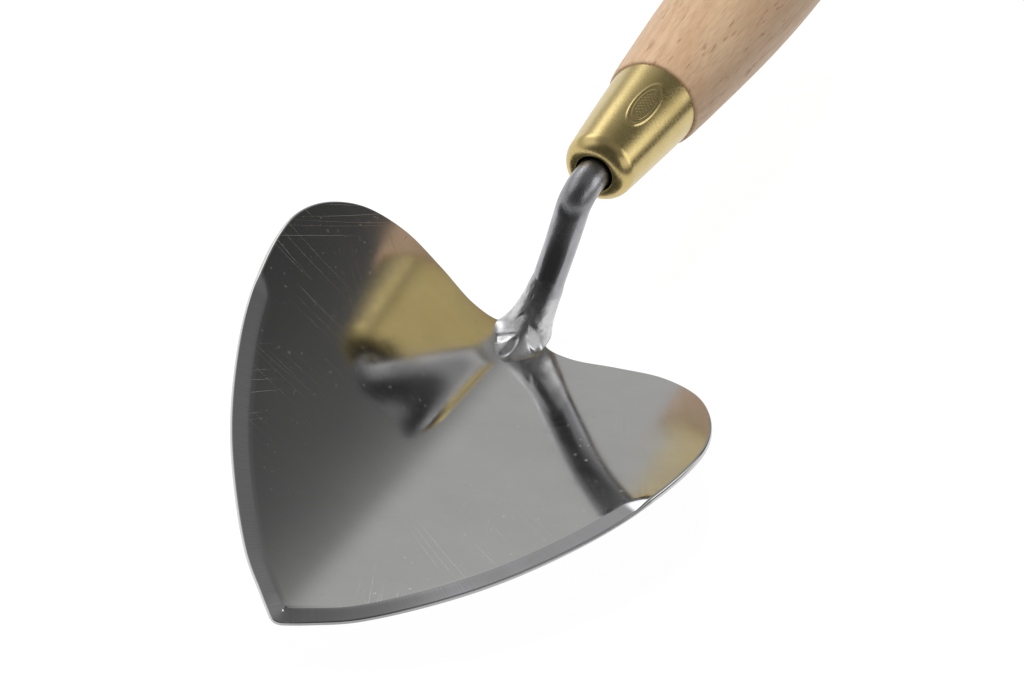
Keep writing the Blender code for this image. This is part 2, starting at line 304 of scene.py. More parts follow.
BAR_GREY = grey(0.33, 0.015)
PITTED_BELOW = (0.022, 0.004)    # below the ferrule's mouth, where the bar's pitting sets in
DARK_WELD_BELOW = (0.0380, 0.0285)
HANDLED_FLANK = (-0.034, -0.014)    # across the tool, where the handling scratches fade out
PITH = (0.035, 0.020)    # how far the tree's middle lies from the handle's, towards -Y and -Z
RING_PITCH = 2600.0    # radians per metre


class Look:
    """A procedural material, with short names for the nodes it is made of."""

    def __init__(self, name, colour, metallic, roughness):
        self.material = bpy.data.materials.new(name)
        self.material.use_nodes = True
        self.material.diffuse_color = colour
        self.tree = self.material.node_tree
        self.shader = self.tree.nodes["Principled BSDF"]
        self.shader.inputs["Base Color"].default_value = colour
        self.shader.inputs["Metallic"].default_value = metallic
        self.shader.inputs["Roughness"].default_value = roughness
        self.place = self.add("ShaderNodeTexCoord").outputs["Object"]

    def add(self, kind, inputs=None, **settings):
        made = self.tree.nodes.new(kind)
        for key, value in settings.items():
            setattr(made, key, value)
        for key, value in (inputs or {}).items():
            self.feed(made.inputs[key], value)
        return made

    def feed(self, socket, value):
        if isinstance(value, bpy.types.NodeSocket):
            self.tree.links.new(value, socket)
        else:
            socket.default_value = value

    def sum(self, operation, first, second=0.0):
        return self.add("ShaderNodeMath", {0: first, 1: second}, operation=operation).outputs[0]

    def most(self, *values):
        found = values[0]
        for value in values[1:]:
            found = self.sum("MAXIMUM", found, value)
        return found

    def length(self, first, second):
        return self.sum("SQRT", self.sum("ADD", self.sum("MULTIPLY", first, first),
                                         self.sum("MULTIPLY", second, second)))

    def axis(self, name, source=None):
        return self.add("ShaderNodeSeparateXYZ", {0: source or self.place}).outputs[name]

    def span(self, value, low, high, start=0.0, end=1.0):
        """Value from low to high, read as start to end."""
        made = self.add("ShaderNodeMapRange", {0: value, 1: low, 2: high, 3: start, 4: end},
                        interpolation_type="SMOOTHSTEP")
        return made.outputs[0]

    def stretch(self, scale, turn=(0.0, 0.0, 0.0), shift=(0.0, 0.0, 0.0), source=None):
        made = self.add("ShaderNodeMapping", {"Vector": source or self.place,
                                              "Rotation": turn, "Scale": scale,
                                              "Location": shift})
        return made.outputs[0]

    def grain(self, scale, detail=2.0, roughness=0.5, **placing):
        """Noise with a number of cells to the metre along each axis."""
        made = self.add("ShaderNodeTexNoise", {"Vector": self.stretch(scale, **placing),
                                               "Scale": 1.0, "Detail": detail,
                                               "Roughness": roughness})
        return made.outputs[0]

    def blend(self, share, first, second, mode="MIX"):
        made = self.add("ShaderNodeMix", data_type="RGBA", blend_type=mode)
        self.feed(made.inputs[0], share)
        self.feed(made.inputs[6], first)
        self.feed(made.inputs[7], second)
        return made.outputs[2]

    def scratches(self, angle, size, stretch, width, amount, seed):
        """Long thin lines at an angle: narrow bands of stretched noise, broken into runs."""
        turned = self.stretch((1.0, 1.0, 1.0), turn=(0.0, 0.0, angle))
        lines = self.grain((size, size * stretch, size), detail=0.0,
                           shift=(seed, seed * 2.0, 0.0), source=turned)
        off_middle = self.sum("ABSOLUTE", self.sum("SUBTRACT", lines, 0.5))
        thin = self.span(off_middle, 0.0, width, 1.0, 0.0)
        runs = self.grain((24.0, 60.0, 24.0), detail=1.0, shift=(seed * 3.0, seed, 0.0),
                          source=turned)
        return self.sum("MULTIPLY", thin, self.span(runs, amount, amount + 0.12))

    def finish(self, colour, roughness, height, distance):
        """Puts the colour and roughness on the shader, with a relief of a height in metres."""
        relief = self.add("ShaderNodeBump", {"Height": height, "Distance": distance,
                                             "Strength": 1.0}).outputs[0]
        for key, value in (("Base Color", colour), ("Roughness", roughness),
                           ("Normal", relief)):
            self.feed(self.shader.inputs[key], value)
        return self.material


def polished_steel():
    """Stamped steel polished nearly to a mirror, then handled: fine scratches, specks, haze.

    The flank towards +Y is cleaner.
    """
    look = Look("polished_steel", grey(0.57, -0.005), 1.0, 0.08)
    haze = look.grain((60.0, 34.0, 60.0), detail=4.0, roughness=0.6)
    brushing = look.grain((200.0, 5200.0, 200.0), turn=(0.0, 0.0, 0.35))
    faint = look.most(look.scratches(0.9, 8.0, 40.0, 0.0026, 0.52, 1.0),
                      look.scratches(-0.35, 7.0, 44.0, 0.0022, 0.54, 5.0),
                      look.scratches(2.2, 9.0, 40.0, 0.0024, 0.54, 9.0))
    handled = look.most(look.scratches(0.5, 11.0, 34.0, 0.0030, 0.44, 13.0),
                        look.scratches(1.5, 10.0, 36.0, 0.0030, 0.44, 17.0))
    handled = look.sum("MULTIPLY", handled,
                       look.span(look.axis("Y"), *HANDLED_FLANK, 1.0, 0.0))
    marks = look.most(look.sum("MULTIPLY", faint, 0.5), handled)
    specks = look.span(look.grain((900.0, 900.0, 900.0), detail=1.0), 0.70, 0.76)
    dull = look.sum("ADD", look.span(haze, 0.35, 0.75, 0.075, 0.12),
                    look.sum("MULTIPLY", look.most(marks, specks), 0.16))
    colour = look.blend(look.span(haze, 0.3, 0.75), grey(0.575, -0.01), grey(0.53, -0.005))
    relief = look.sum("SUBTRACT", look.sum("MULTIPLY", brushing, 0.12), marks)
    return look.finish(colour, dull, relief, 0.000004)


def ground_steel():
    """The bevel: faint wheel lines across the edge, duller patches, and painted light and shade."""
    look = Look("ground_bevel", grey(0.50, 0.005), 1.0, 0.14)
    along = look.add("ShaderNodeUVMap", uv_map="edge").outputs[0]
    lines = look.grain((2600.0, 60.0, 1.0), source=along)
    patches = look.grain((110.0, 60.0, 1.0), source=along)
    colour = look.blend(look.span(lines, 0.35, 0.7), grey(0.50, 0.01), grey(0.46, 0.01))
    side = look.axis("Y")
    # Painted light and shade: the bevel's colour is lighter towards -Y and darker towards +Y, less
    # dark far out on +Y.
    wear_and_painted_light = look.sum("ADD", look.span(side, -0.004, 0.004, 1.22, 0.66),
                    look.span(side, 0.010, 0.042, 0.0, 0.26))
    colour = look.blend(1.0, colour, wear_and_painted_light, mode="MULTIPLY")
    dull = look.sum("ADD", look.span(lines, 0.3, 0.7, 0.07, 0.11),
                    look.span(patches, 0.4, 0.7, 0.0, 0.04))
    return look.finish(colour, dull, lines, 0.000004)


def bar_steel():
    """Drawn bar: dark, smooth lower down, finely pitted near the ferrule."""
    look = Look("bar_steel", grey(0.36, 0.01), 1.0, 0.2)
    pits = look.grain((2600.0, 2600.0, 2600.0), roughness=0.6)
    blotches = look.grain((260.0, 260.0, 160.0), detail=3.0)
    upper = look.span(look.axis("Z"), MOUTH.z - PITTED_BELOW[0], MOUTH.z - PITTED_BELOW[1])
    dull = look.sum("ADD", look.span(blotches, 0.35, 0.7, 0.15, 0.24),
                    look.sum("MULTIPLY", upper, 0.10))
    colour = look.blend(look.span(blotches, 0.35, 0.7), BAR_GREY, grey(0.27, 0.015))
    relief = look.sum("MULTIPLY", pits, look.span(upper, 0.0, 1.0, 0.15, 1.0))
    return look.finish(colour, dull, relief, 0.00007)


def ground_weld():
    """Weld metal dressed with a small wheel: finely lined, bright, dark where it meets the bar."""
    look = Look("ground_weld", grey(0.44, 0.005), 1.0, 0.22)
    lines = look.grain((900.0, 5200.0, 900.0), turn=(0.3, 0.2, 0.5))
    patches = look.grain((420.0, 420.0, 420.0), detail=3.0)
    dull = look.span(patches, 0.35, 0.7, 0.27, 0.40)
    colour = look.blend(look.span(patches, 0.4, 0.7), grey(0.60, 0.01), grey(0.48, 0.01))
    upper = look.span(look.axis("Z"), MOUTH.z - DARK_WELD_BELOW[0], MOUTH.z - DARK_WELD_BELOW[1])
    colour = look.blend(upper, colour, BAR_GREY)
    relief = look.sum("ADD", look.sum("MULTIPLY", lines, 0.4), patches)
    return look.finish(colour, dull, relief, 0.00004)


def satin_brass():
    """Brass pressing with a fine even satin and a few handling marks."""
    look = Look("brass", (0.58, 0.455, 0.20, 1.0), 1.0, 0.3)
    satin = look.grain((1500.0, 1500.0, 1500.0), detail=3.0, roughness=0.6)
    turned = look.grain((3200.0, 180.0, 180.0))
    tarnish = look.grain((150.0, 150.0, 150.0), detail=4.0)
    nicks = look.scratches(0.7, 90.0, 6.0, 0.012, 0.60, 3.0)
    colour = look.blend(look.span(tarnish, 0.35, 0.75), (0.60, 0.475, 0.21, 1.0),
                        (0.55, 0.43, 0.18, 1.0))
    dull = look.sum("ADD", look.span(satin, 0.3, 0.7, 0.23, 0.29),
                    look.span(tarnish, 0.4, 0.7, 0.0, 0.03))
    relief = look.sum("ADD", look.sum("ADD", look.sum("MULTIPLY", satin, 0.8),
                                      look.sum("MULTIPLY", turned, 0.35)),
                      look.sum("MULTIPLY", nicks, -0.8))
    return look.finish(colour, dull, relief, 0.000013)


def oiled_beech():
    """Turned beech: pinkish tan, growth rings cut lengthwise, short dark flecks on the grain."""
    look = Look("beech", (0.62, 0.42, 0.29, 1.0), 0.0, 0.5)
    warp = look.grain((14.0, 60.0, 60.0), detail=3.0)
    reach = look.length(look.sum("ADD", look.axis("Y"), PITH[0]),
                        look.sum("ADD", look.axis("Z"), PITH[1]))
    bent = look.sum("ADD", reach, look.sum("MULTIPLY", warp, 0.006))
    rings = look.span(look.sum("SINE", look.sum("MULTIPLY", bent, RING_PITCH)), -1.0, 1.0)
    fibres = look.grain((60.0, 2200.0, 2200.0), detail=3.0, roughness=0.6)
    streaks = look.grain((16.0, 420.0, 420.0), detail=3.0)
    blush = look.grain((22.0, 60.0, 60.0))
    flecks = look.grain((150.0, 1500.0, 1500.0), detail=1.0)
    fleck_zone = look.grain((70.0, 260.0, 260.0), shift=(4.0, 2.0, 1.0))
    fleck = look.sum("MULTIPLY", look.span(flecks, 0.62, 0.70),
                     look.span(fleck_zone, 0.42, 0.6))
    colour = look.blend(look.span(blush, 0.3, 0.7), (0.60, 0.42, 0.265, 1.0),
                        (0.54, 0.36, 0.22, 1.0))
    for share, shade in ((look.sum("MULTIPLY", rings, 0.38), (0.45, 0.27, 0.15, 1.0)),
                         (look.span(fibres, 0.3, 0.75, 0.0, 0.52), (0.38, 0.24, 0.14, 1.0)),
                         (look.span(streaks, 0.5, 0.75, 0.0, 0.30), (0.64, 0.47, 0.32, 1.0)),
                         (look.sum("MULTIPLY", fleck, 0.62), (0.30, 0.14, 0.065, 1.0))):
        colour = look.blend(share, colour, shade)
    dull = look.sum("ADD", look.span(fibres, 0.3, 0.7, 0.42, 0.56),
                    look.sum("MULTIPLY", fleck, 0.1))
    relief = look.sum("SUBTRACT", look.sum("MULTIPLY", fibres, 0.6), fleck)
    return look.finish(colour, dull, relief, 0.00006)


# ---- the blade ----------------------------------------------------------------------------
def press_marks(forward, half_width):
    """Height of the press's slight unevenness at a place on the blade."""
    return PRESS_HEIGHT * wobble(Vector((forward, half_width, 0.0)), PRESS_SCALE, PRESS_SEED)


def dish_height(forward, half_width):
    """Height of the blade's lower face above its own flat plane."""
    flank = math.hypot(FLANK_SLOPE * half_width, KEEL_ROUNDING) - KEEL_ROUNDING
    lobe = LOBE_LIFT * (half_width / LOBE_HALF_WIDTH) ** 4
    hollow = (forward - KEEL_LOW_POINT) ** 2 / (2 * KEEL_RADIUS)
    return flank + lobe + hollow + press_marks(forward, half_width)


def blade_point(forward, half_width, above=0.0):
    """A point of the sheet, a distance above its lower face along the sheet's normal."""
    step = SLOPE_STEP
    rise_forward = (dish_height(forward + step, half_width)
                    - dish_height(forward - step, half_width)) / (2 * step)
    rise_across = (dish_height(forward, half_width + step)
                   - dish_height(forward, half_width - step)) / (2 * step)
    normal = Vector((-rise_forward, -rise_across, 1.0)).normalized() * above
    along = forward + normal.x
    across = half_width + normal.y
    height = dish_height(forward, half_width) + normal.z
    x = along * math.cos(BLADE_PITCH) - height * math.sin(BLADE_PITCH)
    z = along * math.sin(BLADE_PITCH) + height * math.cos(BLADE_PITCH)
    return Vector((BLADE_ORIGIN_X + x, across, z - BLADE_DROP - BLADE_THICKNESS))


def blade_row(edge, inward, keel):
    """Places across half the sheet at one row: up from the keel, over the rim and back under.

    Each is a spot on the flat plan, its height above the lower face, and its distance in from
    the edge; with them comes how fully the bevel is ground there.
    """
    columns, under_columns, rim_steps, bevel_steps = COLUMNS
    ground = smoothstep(BEVEL_START + BEVEL_RUN_IN[0], BEVEL_START + BEVEL_RUN_IN[1], edge.x)
    width = UNGROUND_WIDTH + (BEVEL_WIDTH - UNGROUND_WIDTH) * ground
    edge_thickness = BLADE_THICKNESS * (1 - (1 - EDGE_FRACTION) * ground)
    corner = min(RIM_CORNER, edge_thickness * RIM_CORNER_SHARE)

    def thickness_at(depth):
        inside = width - depth
        eased = (inside + math.hypot(inside, CREASE_ROUNDING)) / 2
        return BLADE_THICKNESS - (BLADE_THICKNESS - edge_thickness) * eased / width

    def inset(depth):
        spot = edge + inward * depth
        return Vector((spot.x, max(spot.y, 0.0), 0.0))

    line = []
    crease = inset(BEVEL_REACHES[0] * width)
    for column in range(columns + 1):
        spot = keel.lerp(crease, column / columns)
        line.append((spot, BLADE_THICKNESS, (edge - spot).length))
    for step in range(bevel_steps + 1):
        first = BEVEL_REACHES[1] * width
        depth = first + (corner - first) * step / bevel_steps
        line.append((inset(depth), thickness_at(depth), depth))
    top = thickness_at(corner)
    for step in range(1, rim_steps + 1):
        turn = math.pi / 2 * step / rim_steps
        depth = corner - corner * math.sin(turn)
        line.append((inset(depth), top - corner + corner * math.cos(turn), depth))
    for step in range(rim_steps + 1):
        turn = math.pi / 2 * step / rim_steps
        depth = corner - corner * math.cos(turn)
        line.append((inset(depth), corner - corner * math.sin(turn), depth))
    start = inset(corner)
    for column in range(1, under_columns + 1):
        spot = start.lerp(keel, column / under_columns)
        line.append((spot, 0.0, (edge - spot).length))
    return line, ground


def build_blade(polished, bevelled):
    """The sheet, built as two halves that share the vertices along the keel."""
    outline, length = smooth_curve([(*point, 0.0) for point in BLADE_OUTLINE], BLADE_ROWS)
    front = BLADE_OUTLINE[0][0] - KEEL_ENDS[0]
    back = BLADE_OUTLINE[-1][0] + KEEL_ENDS[1]
    vertices, edge_places, faces, indices = [], [], [], []
    first_bevel = COLUMNS[0] + 3
    last_bevel = first_bevel + COLUMNS[3] + COLUMNS[2]
    for side in (1.0, -1.0):
        start = len(vertices)
        ground_rows = []
        for row, edge in enumerate(outline):
            if row in (0, BLADE_ROWS):
                inward = Vector((-1.0 if row == 0 else 1.0, 0.0, 0.0))
            else:
                tangent = (outline[row + 1] - outline[row - 1]).normalized()
                inward = Vector((-tangent.y, tangent.x, 0.0))
            keel = Vector((front + (back - front) * row / BLADE_ROWS, 0.0, 0.0))
            line, ground = blade_row(edge, inward, keel)
            ground_rows.append(ground)
            for spot, above, depth in line:
                vertices.append(blade_point(spot.x, spot.y * side, above))
                edge_places.append((length * row / BLADE_ROWS, depth))
            per_row = len(line)
        for row in range(BLADE_ROWS):
            for column in range(per_row - 1):
                a = start + row * per_row + column
                b = a + per_row
                around = (a, a + 1, b + 1, b)
                faces.append(around if side > 0 else around[::-1])
                ground = ground_rows[row] > GRINDING_SHOWS and first_bevel <= column <= last_bevel
                indices.append(1 if ground else 0)
    blade = make_piece("blade_sheet", vertices, faces, "blade",
                       [polished, bevelled], indices)
    mesh = blade.data
    uv = mesh.uv_layers.new(name="edge")
    places = [edge_places[loop.vertex_index] for loop in mesh.loops]
    uv.data.foreach_set("uv", [number for place in places for number in place])
    return blade


# ---- the neck and its foot ------------------------------------------------------------------
def neck_path():
    """Centre line of the bar, along the handle's axis and down in two bends, and its last heading."""
    place = Vector((NECK_START, 0.0, 0.0))
    path = [Vector((-TANG_LENGTH, 0.0, 0.0)), Vector((-0.010, 0.0, 0.0)), place]
    heading = 0.0
    bends = ((math.pi / 2 + UPPER_LEAN, BEND_RADIUS), (math.pi / 2 + LOWER_LEAN, EASE_RADIUS))
    for target, radius in bends:
        change = (target - heading) / BEND_STEPS
        chord = 2 * radius * math.sin(abs(change) / 2)
        for _ in range(BEND_STEPS):
            middle = heading + change / 2
            place = place + chord * Vector((math.cos(middle), 0.0, -math.sin(middle)))
            path.append(place)
            heading += change
        if target == bends[0][0]:
            place = place + UPPER_RUN * Vector((math.cos(heading), 0.0, -math.sin(heading)))
            path.append(place)
    direction = Vector((math.cos(heading), 0.0, -math.sin(heading)))
    run = (place.z + BLADE_DROP - FOOT_CLEARANCE) / -direction.z
    path.append(place + direction * run)
    return path, direction


NECK = neck_path()


def sweep(path, spacing):
    """Evenly spaced places along a path, each with its direction."""
    lengths = [0.0]
    for start, end in zip(path, path[1:]):
        lengths.append(lengths[-1] + (end - start).length)
    count = int(lengths[-1] / spacing)
    places = []
    index = 0
    for step in range(count + 1):
        target = lengths[-1] * step / count
        while index < len(path) - 2 and lengths[index + 1] < target:
            index += 1
        share = (target - lengths[index]) / (lengths[index + 1] - lengths[index])
        places.append(path[index].lerp(path[index + 1], share))
    found = []
    for index, place in enumerate(places):
        before, after = places[max(index - 1, 0)], places[min(index + 1, count)]
        found.append((place, (after - before).normalized()))
    return found


def build_neck(material):
    """The bar, a little thinner where the weld covers it."""
    path, direction = NECK
    cover = path[-1] - direction * WELD_RISE
    vertices = []
    rings = sweep(path, ROD_SPACING)
    for place, heading in rings:
        side = heading.cross(ACROSS)
        under = smoothstep(*COVERED_DEPTHS, (place - cover).dot(direction))
        for index in range(ROD_SIDES):
            angle = 2 * math.pi * index / ROD_SIDES
            outward = math.cos(angle) * side + math.sin(angle) * ACROSS
            spot = place + ROD_RADIUS * outward
            shown = smoothstep(*SHOWN_FROM, spot.x)
            wear_and_painted_light = (wobbles(spot, ROD_WOBBLES, 1) - ROD_WORN) * shown
            vertices.append(spot + outward * (wear_and_painted_light - COVERED_SLIMMING * under))
    faces = closed_faces(len(rings), ROD_SIDES)
    return make_piece("neck_bar", vertices, faces, "neck", [material])


def weld_surface(angle, share):
    """A point of the weld before it is dressed: a concave sweep from the bar to the blade."""
    path, direction = NECK
    forward_share, side_share = math.cos(angle), math.sin(angle)
    outward = forward_share * direction.cross(ACROSS) + side_share * ACROSS
    rise = WELD_RISE + 0.0009 * math.sin(2 * angle + 0.8) + 0.0005 * math.sin(5 * angle)
    top = path[-1] - direction * rise + (ROD_RADIUS - WELD_OVERLAP) * outward
    middle, reach = (WELD_TOE + WELD_HEEL) / 2, (WELD_TOE - WELD_HEEL) / 2
    taper = 1.0 - WELD_TOE_TAPER * max(0.0, forward_share) ** 1.5
    lobes = 1 + 0.04 * math.sin(3 * angle + 0.6) + 0.03 * math.sin(5 * angle + 2.0)
    forward = middle + reach * forward_share
    aside = WELD_HALF_WIDTH * taper * lobes * side_share
    foot = blade_point(forward, aside, BLADE_THICKNESS)
    drop = (top.z - foot.z) / -direction.z - WELD_KNEE_RISE
    below = top + direction * drop
    knee = below.lerp(foot, WELD_KNEE_SHARE)
    first = top.lerp(knee, share)
    second = knee.lerp(foot, share)
    proud = WELD_PROUD * smoothstep(0.0, 0.16, share)
    return first.lerp(second, share) + outward * proud, outward


def weld_flats():
    """The wheel's flats: centre, a place on the plane, its normal, and the two half-length axes."""
    flats = []
    for degrees, share, depth, down_reach, side_reach, tilt in WELD_FLATS:
        angle = math.radians(degrees)
        spot, outward = weld_surface(angle, share)
        around = (weld_surface(angle + 0.02, share)[0] - spot).normalized()
        down = (weld_surface(angle, share + 0.01)[0] - spot).normalized()
        normal = around.cross(down).normalized()
        if normal.dot(outward) < 0:
            normal = -normal
        facing = (normal + Vector(tilt)).normalized()
        flats.append((spot, spot - normal * depth, facing, down / down_reach,
                      around / side_reach))
    return flats


def build_weld(material):
    """The dressed weld: a concave fillet from bar to blade, cut back to flats by the wheel."""
    flats = weld_flats()
    rows = WELD_LAYERS + WELD_SKIRT_LAYERS + 1
    vertices = []
    for layer in range(rows):
        share = min(layer / WELD_LAYERS, 1.0)
        under = max(0.0, (layer - WELD_LAYERS) / WELD_SKIRT_LAYERS)
        for index in range(WELD_SIDES):
            angle = 2 * math.pi * index / WELD_SIDES
            spot, outward = weld_surface(angle, share)
            lump = wobbles(spot, WELD_WOBBLES, 4)
            spot = spot + outward * lump * math.sin(math.pi * share)
            spot = spot - Vector((0.0, 0.0, WELD_SKIRT_DEPTH * under))
            for centre, place, facing, down, around in flats:
                beyond = (spot - place).dot(facing)
                away = spot - centre
                reach = math.hypot(away.dot(down), away.dot(around))
                near = 1 - smoothstep(*FLAT_EDGE, reach)
                if beyond > 0 and near > 0:
                    spot = spot - facing * beyond * FLAT_CUT * near
            vertices.append(spot)
    faces = closed_faces(rows, WELD_SIDES)
    return make_piece("weld_foot", vertices, faces, "weld", [material])


# ---- turned pieces --------------------------------------------------------------------------
def ferrule_radius(behind):
    """Outer radius of the ferrule's side, a distance behind its mouth."""
    share = behind / FERRULE_LENGTH
    swell = 4 * FERRULE_BULGE * share * (1 - share)
    return NOSE_RADIUS + (RIM_RADIUS - NOSE_RADIUS) * share + swell


def emblem(behind, around):
    """Height of a plain raised oval with a stippled middle, at a place on the ferrule's side."""
    reach = math.hypot((behind - EMBLEM_BEHIND) / EMBLEM_HALF_SIZES[0],
                       around / EMBLEM_HALF_SIZES[1])
    ring = math.exp(-((reach - 1.0) / 0.085) ** 2)
    inner = 0.6 * math.exp(-((reach - 0.72) / 0.07) ** 2)
    dots = 0.0
    if reach < 0.60:
        waves = math.sin(behind * STIPPLE_PITCH) * math.sin(around * STIPPLE_PITCH)
        dots = 0.7 * max(0.0, waves) ** 0.5
    return EMBLEM_HEIGHT * max(ring, inner, dots)


def ferrule_profile():
    """Radii and places along the axis: out of the hole, over the lip, back, and up inside.

    The rows of the ferrule's side come with them.
    """
    hole_steps, lip_steps, side_steps, rear_steps, inside_steps = 6, 30, 168, 4, 12
    profile = [(MOUTH_RADIUS, -HOLE_DEPTH)]
    for step in range(hole_steps):
        turn = math.pi / 2 * step / hole_steps
        profile.append((MOUTH_RADIUS + HOLE_EDGE * (1 - math.cos(turn)),
                        -HOLE_EDGE * (1 - math.sin(turn))))
    lip_end = LIP_LENGTH * (1 - math.cos(LIP_END_TURN))
    lip_reach = (ferrule_radius(lip_end) - LIP_INNER_RADIUS) / math.sin(LIP_END_TURN)
    start_turn = math.asin((MOUTH_RADIUS + HOLE_EDGE - LIP_INNER_RADIUS) / lip_reach)
    for step in range(lip_steps + 1):
        turn = start_turn + (LIP_END_TURN - start_turn) * step / lip_steps
        profile.append((LIP_INNER_RADIUS + lip_reach * math.sin(turn),
                        -LIP_LENGTH * (1 - math.cos(turn))))
    side_rows = range(len(profile), len(profile) + side_steps)
    for step in range(1, side_steps + 1):
        behind = lip_end + (FERRULE_LENGTH - lip_end - REAR_EASE) * step / side_steps
        profile.append((ferrule_radius(behind), -behind))
    for step in range(1, rear_steps + 1):
        turn = math.pi / 2 * step / rear_steps
        profile.append((ferrule_radius(FERRULE_LENGTH) - REAR_EASE * (1 - math.cos(turn)),
                        -FERRULE_LENGTH + REAR_EASE * (1 - math.sin(turn))))
    for step in range(inside_steps + 1):
        behind = FERRULE_LENGTH + (LIP_LENGTH - FERRULE_LENGTH) * step / inside_steps
        profile.append((ferrule_radius(behind) - FERRULE_WALL, -behind))
    return profile, side_rows


def build_ferrule(material):
    profile, side_rows = ferrule_profile()
    vertices = []
    for row, (radius, along) in enumerate(profile):
        for index in range(FERRULE_SIDES):
            angle = 2 * math.pi * index / FERRULE_SIDES
            outward = round_axis(angle)
            raised = 0.0
            if row in side_rows:
                away = math.remainder(angle - EMBLEM_FACING, 2 * math.pi) * radius
                raised = emblem(-along, away)
            spot = Vector((along, 0.0, 0.0)) + outward * radius
            uneven = FERRULE_WOBBLE * wobble(spot, 110.0, 11)
            vertices.append(spot + outward * (raised + uneven))
    faces = ring_faces(len(profile), FERRULE_SIDES)
    last = (len(profile) - 1) * FERRULE_SIDES
    for index in range(FERRULE_SIDES):
        after = (index + 1) % FERRULE_SIDES
        faces.append((last + index, last + after, after, index))
    return make_piece("ferrule_cap", vertices, faces, "ferrule", [material])


def handle_radius(behind):
    """Radius of the grip, a distance behind the ferrule, up to its fullest part."""
    full = HANDLE_LENGTH * FULLEST_SHARE
    share = min(behind / full, 1.0)
    return WAIST_RADIUS + (GRIP_RADIUS - WAIST_RADIUS) * math.sin(math.pi / 2 * share)


def handle_profile():
    """Radii and places along the axis: the tenon, the shoulder, the grip and the rounded butt."""
    shoulder_steps, grip_steps, butt_steps = 8, 60, 40
    profile = [(ROD_RADIUS + BORE_CLEARANCE, -TENON_FRONT)]
    for behind in TENON_PLACES:
        profile.append((ferrule_radius(behind) - FERRULE_WALL - TENON_CLEARANCE, -behind))
    start = FERRULE_LENGTH + HANDLE_GAP
    ease = WAIST_RADIUS - SHOULDER_RADIUS
    for step in range(shoulder_steps + 1):
        turn = math.pi / 2 * step / shoulder_steps
        rise = (ease + TENON_CLEARANCE) * math.sin(turn)
        profile.append((SHOULDER_RADIUS - TENON_CLEARANCE + rise,
                        -start - SHOULDER_SHAPE * ease * (1 - math.cos(turn))))
    fullest = HANDLE_LENGTH * FULLEST_SHARE
    for step in range(1, grip_steps + 1):
        behind = SHOULDER_SHAPE * ease + (fullest - SHOULDER_SHAPE * ease) * step / grip_steps
        profile.append((handle_radius(behind), -start - behind))
    round_length = FERRULE_LENGTH + HANDLE_LENGTH - start - fullest
    for step in range(1, butt_steps + 1):
        turn = math.pi / 2 * step / butt_steps
        radius = BUTT_RADIUS + (GRIP_RADIUS - BUTT_RADIUS) * math.cos(turn) ** BUTT_POWER
        profile.append((radius, -start - fullest - round_length * math.sin(turn)))
    butt = -(FERRULE_LENGTH + HANDLE_LENGTH)
    for share in BUTT_RINGS:
        profile.append((BUTT_RADIUS * share, butt))
    return profile


def build_handle(material):
    profile = handle_profile()
    vertices = []
    for radius, along in profile:
        for index in range(HANDLE_SIDES):
            outward = round_axis(2 * math.pi * index / HANDLE_SIDES)
            spot = Vector((along, 0.0, 0.0)) + outward * radius
            if radius > BUTT_RADIUS:
                lengthened = Vector((spot.x * 0.4, spot.y, spot.z))
                spot = spot + outward * (HANDLE_WOBBLE * wobble(lengthened, 120.0, 21))
            vertices.append(spot)
    faces = closed_faces(len(profile), HANDLE_SIDES)
    return make_piece("handle_turned", vertices, faces, "handle", [material])


# ---- surroundings ---------------------------------------------------------------------------
# In the sky, turns are in degrees from straight behind the handle towards +Y, and rises are in
# degrees above the horizon. A wall is given as two turns and the brightness at each.
WALL = (-30, 34, 0.57, 0.055)
ABOVE_WALL = (-28, -6, 0.32, 0.18)
WALL_TOP = (30, 50)
CEILING_EDGE = (52, 62)
CEILING = 0.27
PANELS = (    # turns, rises, softness of both, brightness
    ((128, 200), (-20, 75), (10, 10), 0.10),
    ((-200, -136), (-20, 75), (10, 10), 0.10),
    ((-126, -60), (12, 46), (6, 6), 1.0),
    ((60, 126), (12, 42), (6, 6), 1.0),
    ((-74, -43), (15, 37), (3, 4), 2.4),
    ((43, 74), (13, 48), (3, 6), 1.9),
)
FLOOR_HALF = 0.5
FLOOR_STEPS = 24
FLOOR_LEVEL = -0.0006
FLOOR_GLOW = 0.94
LAMP_PLACE = Vector((0.10, -0.30, 0.75))
LAMP_SIZE = 0.35
LAMP_POWER = 5.2
CAMERA_LENS = 69.47
CAMERA_SENSOR = 36.0
CAMERA_CLIP = (0.01, 20.0)
CAMERA_AXES = (    # its right, up and back
    (-0.4627, 0.8543, 0.2367), (-0.5728, -0.4919, 0.6557), (0.6766, 0.1678, 0.7169),
)
CAMERA_PLACE = Vector((0.3399, 0.0796, 0.2976))


